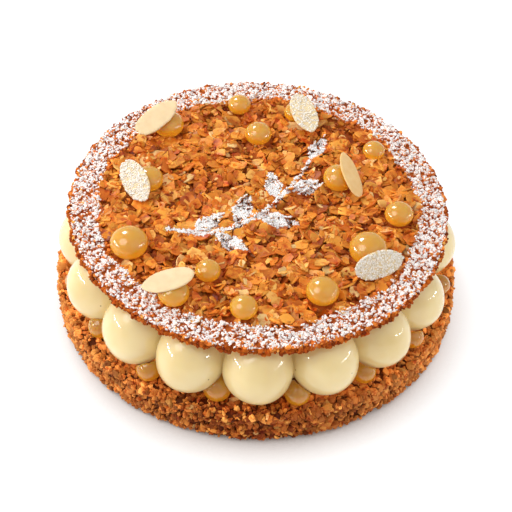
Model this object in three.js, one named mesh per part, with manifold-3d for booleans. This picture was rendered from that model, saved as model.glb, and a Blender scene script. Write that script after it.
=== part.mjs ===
// Layered pear and almond tart, about 200 mm across: a thick nut crumb base, a ring of piped
// vanilla cream balls with pear gel beads between their feet, and a crisp flaked almond lid
// that carries pear gel drops and loose almond slices.
// Millimetres, +Z up. The origin is the middle of the base's underside; -Y is the front.

import * as THREE from 'three';
import Module from 'manifold-3d';
import { mergeVertices } from 'three/addons/utils/BufferGeometryUtils.js';
import { ConvexGeometry } from 'three/addons/geometries/ConvexGeometry.js';

const wasm = await Module();
wasm.setup();

// ---- driving dimensions -------------------------------------------------------------------

const GAP = 0.3; // between pieces that touch

const BASE_RADIUS = 100;
const BASE_HEIGHT = 17;
const BASE_SEGMENTS = 90;
const BASE_WALL_RINGS = 5;
const BASE_LEDGE_INSETS = [3.5, 8, 13]; // rings of crumb round the top, in from the edge
const BASE_FLAT_INSET = 20; // from here in the top is flat, under the cream
const NUT_COUNT = 24; // nut pieces that stand proud of the base's rim
const NUT_RADIUS = [1.7, 2.7];
const NUT_SINK = 0.6; // how far a nut's middle lies inside the wall, in its radii
const RING_STRAY = 0.35; // how far a crumb strays along its ring, as a share of the step

const FILLING_APOTHEM = 75; // axis to the flats that the balls press against

const CREAM_SHIFT = [0.3, -1.2]; // the cream was piped a little off the base's axis
const BALL_COUNT = 16;
const BALL_RING_RADIUS = 81.4;
const BALL_RADIUS = 17.5;
const BALL_FACETS = [13, 7]; // round and down
const BALL_SAG = 0.5; // how far each ball's middle has sunk, which flattens its foot
const FIRST_BALL_DEG = 181.8; // ball 1 stands at the left, and they run round by the front
// how far each ball was piped from its even place round the ring, in degrees
const BALL_NUDGE_DEG = [-0.3, -0.7, 0.6, -1.2, -0.4, -0.8, -1.8, -4.5, -0.1, 0.8, -0.6, 1.1, -0.9, 0.5, 1, -0.5];

// Pear gel beads in the gaps: distance from the cream's axis, turn from the gap's middle in
// degrees, and the radius of each
const BEADS = [
  [91.8, -0.7, 5.3],
  [89.2, -2.7, 6.1],
  [89.3, -1.8, 6.2],
  [86.3, -1.2, 6.9],
  [88.6, 0.9, 6.3],
  [88.8, 1.6, 5.9],
  [90.7, 2.1, 5.6],
  [92.4, 2.8, 5.2],
  [90.1, 1.2, 5.4],
  [88.9, 0.4, 5.8],
  [89.6, -0.8, 5.3],
  [88.6, 0.9, 6],
  [89.3, -0.5, 5.5],
  [88.8, -1.4, 5.8],
  [90.2, 0.6, 5.2],
  [89.7, -1.1, 5.6],
];
const BEAD_FACETS = [9, 5];
const BEAD_SINK = 0.72; // height of a bead's centre over the base, in its own radii

const LID_RADIUS = 92.8;
const LID_THICKNESS = 4.4;
const LID_TOP = 56.4; // at the lid's middle
const LID_SHIFT = [0.3, 1.3]; // the lid lies a little off the base's axis
const LID_TILT_DEG = 1.2; // its right side is the lower
const LID_SEGMENTS = 92;
const LID_BED = -0.3; // the crisp's floor under the flakes, from the lid's top plane
const SEAT_MARGIN = 5; // flat crisp round each drop
const BAND_WIDTH = 14; // crumb band round the lid's edge

const FLAKE_SEATS = 120; // places tried on an even spiral, of which toppings take some
const FLAKE_LENGTH = [7, 13];
const FLAKE_BREADTH = [0.5, 0.75]; // as a share of the length
const FLAKE_THICKNESS = 0.9;
const FLAKE_SIDES = 6;
const FLAKE_TILT_DEG = [10, 16]; // the most about x and y
const FLAKE_LIFT = [0.4, 1.1]; // height of a flake's middle over the bed
const FLAKE_STRAY = 1.5; // from its place on the spiral, each way

// Pear gel drops on the lid: x and y from the lid's middle, and the radius of each
const DROPS = [
  [-47.3, 52.4, 7.9],
  [-11.6, 70.8, 6],
  [-1.4, 48.6, 6.9],
  [17.5, 66.8, 5.9],
  [39, 18, 7.7],
  [57.4, 40.1, 5.7],
  [68.2, -5.3, 7.1],
  [52.4, -30.7, 9.3],
  [30.4, -58.5, 7.9],
  [-5.8, -69.9, 6.6],
  [-23.1, -47.8, 6.1],
  [-38.4, -63.1, 7.5],
  [-61.1, -33.2, 9.2],
  [-54.8, 11.7, 7.4],
];
const DROP_ROUNDNESS = 0.78; // half height of a drop's ellipsoid, in its radii
const DROP_SEGMENTS = 10;
const DROP_ROWS = 5; // from the foot of a drop to its crown
const DROP_SINK = 0.5; // height of that ellipsoid's centre over the crisp, in its radii

// Loose almond slices: centre from the lid's middle, turns in degrees, length and width
const SLICES = [
  { at: [-53.2, 49.7, 10.3], heading: 41.2, pitch: 17.7, roll: 9.3, length: 26.5, width: 12.4 },
  { at: [-60.8, 6.8, 6.5], heading: -60.2, pitch: -9.7, roll: 37.3, length: 25.3, width: 13.2 },
  { at: [22, 61.6, 7], heading: -69.9, pitch: -8.6, roll: 0.1, length: 25.8, width: 12.9 },
  { at: [44.9, 15.8, 8.5], heading: 111.5, pitch: 23.1, roll: 36.1, length: 24.9, width: 12.7 },
  { at: [57.3, -41.9, 5.7], heading: 23.9, pitch: 4.3, roll: 47.6, length: 24.7, width: 12.8 },
  { at: [-41.1, -61.1, 9.8], heading: 192, pitch: -14.3, roll: -4.6, length: 25.1, width: 12.1 },
];
const SLICE_THICKNESS = 1.1;
const SLICE_POINTS = 9; // along each long edge

// ---- finishes -----------------------------------------------------------------------------

const finish = (color, roughness) => new THREE.MeshStandardMaterial({ color, roughness, metalness: 0 });

const nutCrumb = finish('#a9652f', 0.85);
const vanillaCream = finish('#efe0b0', 0.35);
const almondCrisp = finish('#c8792f', 0.6);
const pearGel = finish('#d99a3c', 0.15);
const almondFlesh = finish('#f4e2b4', 0.6);

// ---- small helpers ------------------------------------------------------------------------

const degrees = THREE.MathUtils.degToRad;

// Repeatable draws between 0 and 1
function drawsFrom(seed) {
  let state = seed;
  return () => {
    state = (state + 0x6d2b79f5) | 0;
    let mixed = Math.imul(state ^ (state >>> 15), 1 | state);
    mixed = (mixed + Math.imul(mixed ^ (mixed >>> 7), 61 | mixed)) ^ mixed;
    return ((mixed ^ (mixed >>> 14)) >>> 0) / 4294967296;
  };
}

const between = (draw, [low, high]) => low + (high - low) * draw();
const either = (draw, size) => (2 * draw() - 1) * size;

// Merges seam vertices, drops faces that have shrunk to a line and turns the faces outwards
function closed(geometry) {
  const bare = geometry.clone();
  bare.deleteAttribute('normal');
  bare.deleteAttribute('uv');
  const merged = mergeVertices(bare, 1e-4);
  const corner = (i) => new THREE.Vector3().fromBufferAttribute(merged.attributes.position, i);
  const faces = [];
  let volume = 0;
  for (let i = 0; i < merged.index.count; i += 3) {
    const [a, b, c] = [0, 1, 2].map((step) => merged.index.getX(i + step));
    if (a === b || b === c || c === a) continue;
    faces.push([a, b, c]);
    volume += corner(a).dot(corner(b).cross(corner(c)));
  }
  merged.setIndex(faces.flatMap(([a, b, c]) => (volume > 0 ? [a, b, c] : [a, c, b])));
  return merged;
}

function solidOf(geometry) {
  const whole = closed(geometry);
  const vertProperties = new Float32Array(whole.attributes.position.array);
  const triVerts = new Uint32Array(whole.index.array);
  return new wasm.Manifold(new wasm.Mesh({ numProp: 3, vertProperties, triVerts }));
}

// The largest piece of a solid, as a geometry
function geometryOf(solid) {
  const [largest] = solid.decompose().sort((a, b) => b.volume() - a.volume());
  const { vertProperties, triVerts } = largest.getMesh();
  const geometry = new THREE.BufferGeometry();
  geometry.setAttribute('position', new THREE.BufferAttribute(new Float32Array(vertProperties), 3));
  geometry.setIndex(new THREE.BufferAttribute(new Uint32Array(triVerts), 1));
  geometry.computeVertexNormals();
  return geometry;
}

function place(name, geometry, material, position, rotation = [0, 0, 0]) {
  const mesh = new THREE.Mesh(geometry, material);
  mesh.name = name;
  mesh.position.set(...position);
  mesh.rotation.set(...rotation);
  mesh.updateMatrix();
  return mesh;
}

const numbered = (word, index) => `${word}_${String(index + 1).padStart(2, '0')}`;

// A disc with a crumbly skin, from rings of { radius, height, out, up } that start on the
// underside and end on top. out and up are how far the ring's points stray each way, and
// ceiling gives the most height allowed at a place.
function crumblyDisc(rings, segments, draw, ceiling = () => Infinity) {
  const points = [0, 0, rings[0].height];
  for (const ring of rings) {
    for (let i = 0; i < segments; i += 1) {
      const stray = ring.out > 0 ? RING_STRAY : 0;
      const angle = ((i + either(draw, stray)) / segments) * 2 * Math.PI;
      const radius = ring.radius + either(draw, ring.out);
      const [x, y] = [radius * Math.cos(angle), radius * Math.sin(angle)];
      points.push(x, y, Math.min(ring.height + either(draw, ring.up), ceiling(x, y)));
    }
  }
  points.push(0, 0, rings.at(-1).height);
  const at = (ring, i) => 1 + ring * segments + (i % segments);
  const top = 1 + rings.length * segments;
  const faces = [];
  for (let i = 0; i < segments; i += 1) {
    faces.push(0, at(0, i + 1), at(0, i));
    for (let ring = 0; ring + 1 < rings.length; ring += 1) {
      faces.push(at(ring, i), at(ring, i + 1), at(ring + 1, i + 1));
      faces.push(at(ring, i), at(ring + 1, i + 1), at(ring + 1, i));
    }
    faces.push(top, at(rings.length - 1, i), at(rings.length - 1, i + 1));
  }
  const geometry = new THREE.BufferGeometry();
  geometry.setAttribute('position', new THREE.Float32BufferAttribute(points, 3));
  geometry.setIndex(faces);
  return geometry;
}

// Height of the lid's underside over the table, at a place x of the cream
function undersideOfLid(x) {
  const slope = Math.tan(degrees(LID_TILT_DEG));
  const fromLid = x + CREAM_SHIFT[0] - LID_SHIFT[0];
  return LID_TOP - fromLid * slope - LID_THICKNESS / Math.cos(degrees(LID_TILT_DEG));
}

// ---- nut crumb base -----------------------------------------------------------------------

function crumbBase() {
  const draw = drawsFrom(11);
  const rings = [{ radius: BASE_RADIUS - 3, height: 0, out: 0, up: 0 }];
  rings.push({ radius: BASE_RADIUS - 1, height: 1.4, out: 0.6, up: 0.3 });
  const [wallFoot, wallTop] = [4.2, BASE_HEIGHT - 2.8];
  for (let i = 0; i < BASE_WALL_RINGS; i += 1) {
    const height = wallFoot + (i * (wallTop - wallFoot)) / (BASE_WALL_RINGS - 1);
    rings.push({ radius: BASE_RADIUS - 0.4, height, out: 0.9, up: 0.6 });
  }
  rings.push({ radius: BASE_RADIUS - 1.2, height: BASE_HEIGHT - 0.9, out: 0.7, up: 0.4 });
  for (const inset of BASE_LEDGE_INSETS) {
    rings.push({ radius: BASE_RADIUS - inset, height: BASE_HEIGHT - 0.5, out: 0.5, up: 0.5 });
  }
  rings.push({ radius: BASE_RADIUS - BASE_FLAT_INSET, height: BASE_HEIGHT, out: 0, up: 0 });
  let base = solidOf(crumblyDisc(rings, BASE_SEGMENTS, draw));

  for (let i = 0; i < NUT_COUNT; i += 1) {
    const angle = ((i + either(draw, 0.3)) / NUT_COUNT) * 2 * Math.PI;
    const radius = between(draw, NUT_RADIUS);
    const nut = new THREE.IcosahedronGeometry(radius, 0);
    nut.scale(1, 1 + either(draw, 0.2), 0.8 + either(draw, 0.15));
    nut.rotateX(draw() * Math.PI);
    nut.rotateZ(draw() * Math.PI);
    const reach = BASE_RADIUS - NUT_SINK * radius - 0.4;
    const height = radius + 0.3 + draw() * (BASE_HEIGHT - 2 * radius - 0.9);
    nut.translate(reach * Math.cos(angle), reach * Math.sin(angle), height);
    base = base.add(solidOf(nut));
  }
  return place('crumb_base', geometryOf(base), nutCrumb, [0, 0, 0]);
}

// ---- cream, about the ring's own axis -----------------------------------------------------

const ballAngles = BALL_NUDGE_DEG.map((nudge, i) => degrees(FIRST_BALL_DEG + (360 / BALL_COUNT) * i + nudge));
const angleAfter = (i) => ballAngles[(i + 1) % BALL_COUNT] + (i + 1 === BALL_COUNT ? 2 * Math.PI : 0);
const angleBefore = (i) => (i === 0 ? ballAngles[BALL_COUNT - 1] - 2 * Math.PI : ballAngles[i - 1]);

// Where ball i stands and how tall it is between the base and the tilted lid
function ballSeat(i) {
  const angle = ballAngles[i];
  const x = BALL_RING_RADIUS * Math.cos(angle);
  const y = BALL_RING_RADIUS * Math.sin(angle);
  const foot = BASE_HEIGHT + GAP;
  const crown = undersideOfLid(x) - GAP;
  const halfHeight = (crown - foot) / 2 + BALL_SAG;
  return { angle, position: [x, y, (crown + foot) / 2 - BALL_SAG], halfHeight };
}

// The ball's round form about its own centre, larger all round by grow
function ballForm(seat, grow = 0) {
  const sphere = new THREE.SphereGeometry(1, ...BALL_FACETS);
  sphere.rotateX(Math.PI / 2);
  sphere.scale(BALL_RADIUS + grow, BALL_RADIUS + grow, seat.halfHeight + grow);
  return sphere.rotateZ(seat.angle);
}

// The wedge of space that ball i may fill, between its neighbours, the filling, base and lid
function ballWedge(i) {
  const { angle, position } = ballSeat(i);
  const [left, right] = [(angleAfter(i) - angle) / 2, (angleBefore(i) - angle) / 2];
  const corners = [];
  for (const outward of [FILLING_APOTHEM + GAP, BASE_RADIUS + 10]) {
    for (const [side, half] of [[1, left], [-1, right]]) {
      const across = outward * Math.tan(half) - (side * GAP) / 2;
      const x = outward * Math.cos(angle) - across * Math.sin(angle);
      const y = outward * Math.sin(angle) + across * Math.cos(angle);
      corners.push(new THREE.Vector3(x - position[0], y - position[1], BASE_HEIGHT + GAP - position[2]));
      corners.push(new THREE.Vector3(x - position[0], y - position[1], undersideOfLid(x) - GAP - position[2]));
    }
  }
  return new ConvexGeometry(corners);
}

function creamBall(i) {
  const seat = ballSeat(i);
  const ball = solidOf(ballForm(seat)).intersect(solidOf(ballWedge(i)));
  return place(numbered('cream_ball', i), geometryOf(ball), vanillaCream, seat.position);
}

// The cream behind the balls, a prism with one flat for each of them
function creamFilling() {
  const corners = [];
  ballAngles.forEach((angle, i) => {
    const half = (angleAfter(i) - angle) / 2;
    const reach = FILLING_APOTHEM / Math.cos(half);
    const [x, y] = [reach * Math.cos(angle + half), reach * Math.sin(angle + half)];
    corners.push(new THREE.Vector3(x, y, BASE_HEIGHT + GAP));
    corners.push(new THREE.Vector3(x, y, undersideOfLid(x) - GAP));
  });
  const prism = solidOf(new ConvexGeometry(corners));
  return place('cream_filling', geometryOf(prism), vanillaCream, [0, 0, 0]);
}

// ---- pear gel beads between the balls' feet -----------------------------------------------

function pearBead([outward, turn, radius], i) {
  const angle = (ballAngles[i] + angleAfter(i)) / 2 + degrees(turn);
  const position = new THREE.Vector3(
    outward * Math.cos(angle),
    outward * Math.sin(angle),
    BASE_HEIGHT + GAP + BEAD_SINK * radius,
  );
  const sphere = new THREE.SphereGeometry(radius, ...BEAD_FACETS).rotateX(Math.PI / 2);
  const ground = new THREE.BoxGeometry(4 * radius, 4 * radius, 2 * radius);
  ground.translate(0, 0, -(1 + BEAD_SINK) * radius);
  let bead = solidOf(sphere).subtract(solidOf(ground));
  for (const neighbour of [i, (i + 1) % BALL_COUNT]) {
    const seat = ballSeat(neighbour);
    const [x, y, z] = seat.position;
    const ball = ballForm(seat, GAP).translate(x - position.x, y - position.y, z - position.z);
    bead = bead.subtract(solidOf(ball));
  }
  return place(numbered('pear_bead', i), geometryOf(bead), pearGel, position.toArray());
}

// ---- almond slices, in the lid's own frame ------------------------------------------------

// Half width of a slice, as a share, at a place from -1, its blunt end, to 1, its point
const sliceForm = (along) => (1 - Math.abs(along) ** 2.4) ** (along < 0 ? 0.5 : 0.72);

function sliceOutline({ length, width }, grow = 0) {
  const tip = length / 2 + grow;
  const edge = [];
  for (let i = 1; i < SLICE_POINTS - 1; i += 1) {
    const along = -Math.cos((i / (SLICE_POINTS - 1)) * Math.PI);
    edge.push(new THREE.Vector2(along * tip, (width / 2) * sliceForm(along) + grow));
  }
  const nearEdge = edge.map(({ x, y }) => new THREE.Vector2(x, -y));
  const ends = [new THREE.Vector2(-tip, 0), new THREE.Vector2(tip, 0)];
  return new THREE.Shape([ends[0], ...nearEdge, ends[1], ...edge.toReversed()]);
}

function sliceTurn({ heading, pitch, roll }) {
  return new THREE.Euler(degrees(roll), degrees(-pitch), degrees(heading), 'ZYX');
}

function almondSlice(slice, i) {
  const depth = SLICE_THICKNESS;
  const geometry = new THREE.ExtrudeGeometry(sliceOutline(slice), { depth, bevelEnabled: false });
  geometry.translate(0, 0, -depth / 2);
  const mesh = place(`almond_slice_${i + 1}`, geometryOf(solidOf(geometry)), almondFlesh, slice.at);
  mesh.rotation.copy(sliceTurn(slice));
  return mesh;
}

// Everything from a slice's underside up, which a soft drop below it gives way to
function spaceOverSlice(slice) {
  const depth = 6 * SLICE_THICKNESS;
  const geometry = new THREE.ExtrudeGeometry(sliceOutline(slice, GAP), { depth, bevelEnabled: false });
  geometry.translate(0, 0, -SLICE_THICKNESS / 2 - GAP);
  const turn = new THREE.Matrix4().makeRotationFromEuler(sliceTurn(slice)).setPosition(...slice.at);
  return geometry.applyMatrix4(turn);
}

// ---- pear gel drops on the lid ------------------------------------------------------------

function pearDrop([x, y, radius], i) {
  const halfHeight = DROP_ROUNDNESS * radius;
  const centre = DROP_SINK * radius;
  const start = Math.asin(-centre / halfHeight);
  const profile = [new THREE.Vector2(0, 0)];
  for (let row = 0; row < DROP_ROWS; row += 1) {
    const angle = start + (row / DROP_ROWS) * (Math.PI / 2 - start);
    profile.push(new THREE.Vector2(radius * Math.cos(angle), centre + halfHeight * Math.sin(angle)));
  }
  profile[1].y = 0;
  profile.push(new THREE.Vector2(0, centre + halfHeight));
  const position = [x, y, LID_BED + GAP];
  let drop = solidOf(new THREE.LatheGeometry(profile, DROP_SEGMENTS).rotateX(Math.PI / 2));
  for (const slice of SLICES) {
    if (Math.hypot(slice.at[0] - x, slice.at[1] - y) > radius + slice.length / 2) continue;
    const space = spaceOverSlice(slice).translate(-position[0], -position[1], -position[2]);
    drop = drop.subtract(solidOf(space));
  }
  return place(numbered('pear_drop', i), geometryOf(drop), pearGel, position);
}

// ---- flaked almond lid --------------------------------------------------------------------

// Whether a flake of this reach would meet a drop or pass below a slice
function underTopping(x, y, reach) {
  const nearDrop = DROPS.some(([dropX, dropY, radius]) => Math.hypot(x - dropX, y - dropY) < radius + reach);
  const nearSlice = SLICES.some(({ at, heading, length, width }) => {
    const along = (x - at[0]) * Math.cos(degrees(heading)) + (y - at[1]) * Math.sin(degrees(heading));
    const across = (y - at[1]) * Math.cos(degrees(heading)) - (x - at[0]) * Math.sin(degrees(heading));
    return Math.abs(along) < length / 2 + reach && Math.abs(across) < width / 2 + reach;
  });
  return nearDrop || nearSlice;
}

// The crumb band is low where a drop stands in it
const bandCeiling = (x, y) =>
  DROPS.some(([dropX, dropY, radius]) => Math.hypot(x - dropX, y - dropY) < radius + SEAT_MARGIN) ? LID_BED : Infinity;

function almondLid() {
  const draw = drawsFrom(23);
  const rim = LID_RADIUS;
  const rings = [
    { radius: rim - 3.2, height: -LID_THICKNESS, out: 0, up: 0 },
    { radius: rim - 1, height: -LID_THICKNESS + 0.8, out: 0.6, up: 0.3 },
    { radius: rim, height: -LID_THICKNESS / 2, out: 0.8, up: 0.4 },
    { radius: rim - 0.5, height: -0.7, out: 0.7, up: 0.4 },
  ];
  const bandRings = 4;
  for (let i = 0; i < bandRings; i += 1) {
    const radius = rim - 2.4 - (i * (BAND_WIDTH - 3)) / (bandRings - 1);
    rings.push({ radius, height: 0.3, out: 0.6, up: 0.6 });
  }
  rings.push({ radius: rim - BAND_WIDTH - 1.5, height: LID_BED, out: 0, up: 0 });
  let lid = solidOf(crumblyDisc(rings, LID_SEGMENTS, draw, bandCeiling));

  const goldenTurn = Math.PI * (3 - Math.sqrt(5));
  const bedRadius = LID_RADIUS - BAND_WIDTH - 2;
  for (let i = 0; i < FLAKE_SEATS; i += 1) {
    const outward = bedRadius * Math.sqrt((i + 0.5) / FLAKE_SEATS);
    const x = outward * Math.cos(i * goldenTurn) + either(draw, FLAKE_STRAY);
    const y = outward * Math.sin(i * goldenTurn) + either(draw, FLAKE_STRAY);
    const length = between(draw, FLAKE_LENGTH);
    const flake = new THREE.CylinderGeometry(0.5, 0.5, 1, FLAKE_SIDES).rotateX(Math.PI / 2);
    flake.scale(length, length * between(draw, FLAKE_BREADTH), FLAKE_THICKNESS);
    flake.rotateY(degrees(either(draw, FLAKE_TILT_DEG[1])));
    flake.rotateX(degrees(either(draw, FLAKE_TILT_DEG[0])));
    flake.rotateZ(draw() * 2 * Math.PI);
    flake.translate(x, y, LID_BED + between(draw, FLAKE_LIFT));
    if (underTopping(x, y, length / 2 + GAP)) continue;
    lid = lid.add(solidOf(flake));
  }
  return place('almond_lid', geometryOf(lid), almondCrisp, [0, 0, 0]);
}

// ---- the tart -----------------------------------------------------------------------------

const lidGroup = new THREE.Group();
lidGroup.position.set(LID_SHIFT[0], LID_SHIFT[1], LID_TOP);
lidGroup.rotation.y = degrees(LID_TILT_DEG);
lidGroup.add(almondLid());
DROPS.forEach((drop, i) => lidGroup.add(pearDrop(drop, i)));
SLICES.forEach((slice, i) => lidGroup.add(almondSlice(slice, i)));

const creamGroup = new THREE.Group();
creamGroup.position.set(CREAM_SHIFT[0], CREAM_SHIFT[1], 0);
creamGroup.add(creamFilling());
ballAngles.forEach((_, i) => creamGroup.add(creamBall(i)));
BEADS.forEach((bead, i) => creamGroup.add(pearBead(bead, i)));

const group = new THREE.Group();
group.add(crumbBase());
group.add(creamGroup);
group.add(lidGroup);

export default group;
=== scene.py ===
import math
import bpy
import numpy as np
from mathutils import Matrix, Vector, noise
from mathutils.bvhtree import BVHTree


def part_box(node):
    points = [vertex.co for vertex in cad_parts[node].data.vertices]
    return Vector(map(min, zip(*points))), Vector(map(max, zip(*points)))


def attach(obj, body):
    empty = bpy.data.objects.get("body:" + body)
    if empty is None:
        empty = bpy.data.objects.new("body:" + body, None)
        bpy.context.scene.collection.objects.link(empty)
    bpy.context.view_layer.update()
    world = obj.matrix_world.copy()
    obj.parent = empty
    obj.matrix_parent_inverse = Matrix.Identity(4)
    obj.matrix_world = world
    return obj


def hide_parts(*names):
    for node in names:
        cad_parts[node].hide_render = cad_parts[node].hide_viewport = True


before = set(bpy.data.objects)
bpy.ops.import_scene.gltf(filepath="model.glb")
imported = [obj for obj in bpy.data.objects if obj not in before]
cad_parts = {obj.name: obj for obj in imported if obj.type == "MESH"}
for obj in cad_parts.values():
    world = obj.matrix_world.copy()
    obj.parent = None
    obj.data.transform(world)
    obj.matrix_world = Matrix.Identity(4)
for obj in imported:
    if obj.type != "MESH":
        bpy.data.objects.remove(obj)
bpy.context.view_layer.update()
mm = 0.001  # shapes are worked out in millimetres and stored in metres
farAway = 1e3  # mm, a reach that no piece has
print("frame loaded:", len(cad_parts), "nodes")


# small tools

# a colour mix node's sockets: the share of the second colour, both colours, and the result
mixShare, mixFirst, mixSecond, mixResult = 0, 6, 7, 2


def linear(hexColour):
    channels = [int(hexColour[i:i + 2], 16) / 255 for i in (1, 3, 5)]
    return tuple(c / 12.92 if c <= 0.04045 else ((c + 0.055) / 1.055) ** 2.4 for c in channels)


def perMetre(size):
    # a pattern's scale, from the size of one of its repeats in millimetres
    return 1 / (size * mm)


def setInputs(node, values):
    # values: input name or number -> a number, a hex colour, or the node or socket that feeds it
    for socket, value in values.items():
        target = node.inputs[socket]
        if isinstance(value, bpy.types.Node):
            value = value.outputs[0]
        if isinstance(value, bpy.types.NodeSocket):
            node.id_data.links.new(value, target)
        elif isinstance(value, str):
            target.default_value = (*linear(value), 1)
        else:
            target.default_value = value


def addNode(tree, kind, values=None, stops=(), **settings):
    # stops: the (position, hex colour) pairs of a colour ramp, two or more
    made = tree.nodes.new("ShaderNode" + kind)
    for name, value in settings.items():
        setattr(made, name, value)
    setInputs(made, values or {})
    for number, (position, colour) in enumerate(stops):
        elements = made.color_ramp.elements
        element = elements[number] if number < len(elements) else elements.new(position)
        element.position = position
        element.color = (*linear(colour), 1)
    return made


def newMaterial(name):
    material = bpy.data.materials.new(name)
    material.use_nodes = True
    tree = material.node_tree
    tree.nodes.clear()
    shader = addNode(tree, "BsdfPrincipled")
    addNode(tree, "OutputMaterial", {"Surface": shader})
    place = addNode(tree, "TexCoord").outputs["Object"]
    return material, tree, shader, place


def meshPiece(name, points, faces, material, nodes, tint=None, sharp=None, dust=None):
    # points in millimetres; tint is a linear colour for each point, dust its share of sugar, and
    # edges that turn by more than sharp degrees stay sharp
    mesh = bpy.data.meshes.new(name)
    points = np.asarray(points, float) * mm
    faces = np.asarray(faces, np.int32)
    mesh.vertices.add(len(points))
    mesh.vertices.foreach_set("co", points.ravel())
    sides = faces.shape[1]
    mesh.loops.add(faces.size)
    mesh.loops.foreach_set("vertex_index", faces.ravel())
    mesh.polygons.add(len(faces))
    mesh.polygons.foreach_set("loop_start", np.arange(0, faces.size, sides, dtype=np.int32))
    mesh.update(calc_edges=True)
    mesh.validate()
    if tint is not None:
        layer = mesh.color_attributes.new("tint", "FLOAT_COLOR", "POINT")
        layer.data.foreach_set("color", np.c_[tint, np.ones(len(tint))].ravel())
    if dust is not None:
        mesh.attributes.new("dust", "FLOAT", "POINT").data.foreach_set("value", dust)
    mesh.shade_smooth()
    if sharp is not None:
        mesh.set_sharp_from_angle(angle=math.radians(sharp))
    mesh.materials.append(material)
    piece = bpy.data.objects.new(name, mesh)
    bpy.context.scene.collection.objects.link(piece)
    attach(piece, "root")
    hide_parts(*nodes)


def nodePoints(name):
    # the CAD node's corners, in millimetres
    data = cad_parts[name].data
    points = np.zeros(len(data.vertices) * 3)
    data.vertices.foreach_get("co", points)
    return points.reshape(-1, 3) / mm


def turnsAbout(axes, angles):
    # rotation matrices, one for each unit axis and angle
    x, y, z = axes.T
    c, s = np.cos(angles), np.sin(angles)
    k = 1 - c
    rows = [c + x * x * k, x * y * k - z * s, x * z * k + y * s,
            y * x * k + z * s, c + y * y * k, y * z * k - x * s,
            z * x * k - y * s, z * y * k + x * s, c + z * z * k]
    return np.stack(rows, -1).reshape(-1, 3, 3)


def randomTurns(rng, count):
    axes = rng.normal(size=(count, 3))
    axes /= np.linalg.norm(axes, axis=1)[:, None]
    return turnsAbout(axes, rng.uniform(-math.pi, math.pi, count))


def pushedCorners(rng, count, corners, rough):
    # the same form many times over, each with its corners pushed in and, less far, out
    return [corners * rng.uniform(1 - rough, 1 + rough * 0.6, (len(corners), 1)) for _ in range(count)]


def grainShapes(rng, count, rough):
    # small lumps of 8 faces, each an octahedron
    corners = np.array([(1, 0, 0), (0, 1, 0), (-1, 0, 0), (0, -1, 0), (0, 0, 1), (0, 0, -1)], float)
    faces = [(a, (a + 1) % 4, 4) for a in range(4)] + [((a + 1) % 4, a, 5) for a in range(4)]
    return pushedCorners(rng, count, corners, rough), np.array(faces)


def crumbShapes(rng, count, rough):
    # lumps of 20 faces, each an icosahedron
    golden = (1 + math.sqrt(5)) / 2
    corners = np.array([(-1, golden, 0), (1, golden, 0), (-1, -golden, 0), (1, -golden, 0),
                        (0, -1, golden), (0, 1, golden), (0, -1, -golden), (0, 1, -golden),
                        (golden, 0, -1), (golden, 0, 1), (-golden, 0, -1), (-golden, 0, 1)])
    corners /= np.linalg.norm(corners, axis=1)[:, None]
    faces = []
    edge = np.linalg.norm(corners[0] - corners[1]) * 1.01  # all edges are as long as this one
    for a in range(12):
        for b in range(a + 1, 12):
            for c in range(b + 1, 12):
                trio = corners[[a, b, c]]
                if max(np.linalg.norm(trio - np.roll(trio, 1, 0), axis=1)) < edge:
                    outward = np.dot(np.cross(trio[1] - trio[0], trio[2] - trio[0]), trio.sum(0)) > 0
                    faces.append((a, b, c) if outward else (a, c, b))
    return pushedCorners(rng, count, corners, rough), np.array(faces)


def joinCopies(shapes, faces, choice, places, turns, scales, tints):
    # one joined mesh of many placed lumps, each with its shape's number, scales and tint
    shapes = np.array(shapes)[choice]
    points = np.einsum("nij,nkj->nki", turns, shapes * scales[:, None, :]) + places[:, None, :]
    size = shapes.shape[1]
    allFaces = (faces[None] + np.arange(len(choice))[:, None, None] * size).reshape(-1, 3)
    return points.reshape(-1, 3), allFaces, np.repeat(tints, size, 0)


toneSpread = (0.78, 1.2)  # how much darker and lighter than its tone a lump may be


def pickTints(rng, count, palette):
    # palette: (share, hex colour); each lump gets one of them, a little lighter or darker
    shares = np.array([share for share, _ in palette])
    colours = np.array([linear(colour) for _, colour in palette])
    picked = colours[rng.choice(len(palette), count, p=shares / shares.sum())]
    return picked * rng.uniform(*toneSpread, (count, 1))


# camera, light and floor

view = {
    "lens": 112.5,  # mm
    "sensor": 36,  # mm wide
    "distance": 808,  # mm from the aim point
    "elevation": 46.45,  # degrees
    "aimHeight": 21.8,  # mm over the table
    "side": -0.36,  # mm
    "roll": 1.55,  # degrees the camera leans to its left
}


def addCamera():
    data = bpy.data.cameras.new("camera")
    data.lens = view["lens"]
    data.sensor_width = view["sensor"]
    data.clip_start, data.clip_end = 0.01, 20  # m
    camera = bpy.data.objects.new("camera", data)
    bpy.context.scene.collection.objects.link(camera)
    bpy.context.scene.camera = camera
    tilt, roll = math.radians(view["elevation"]), math.radians(view["roll"])
    back = Vector((0, -math.cos(tilt), math.sin(tilt)))
    right, up = Vector((1, 0, 0)), Vector((0, math.sin(tilt), math.cos(tilt)))
    leanRight = right * math.cos(roll) + up * math.sin(roll)
    leanUp = up * math.cos(roll) - right * math.sin(roll)
    turn = Matrix((leanRight, leanUp, back)).transposed()
    spot = Vector((view["side"], 0, view["aimHeight"])) + back * view["distance"]
    camera.matrix_world = Matrix.Translation(spot * mm) @ turn.to_4x4()


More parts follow.
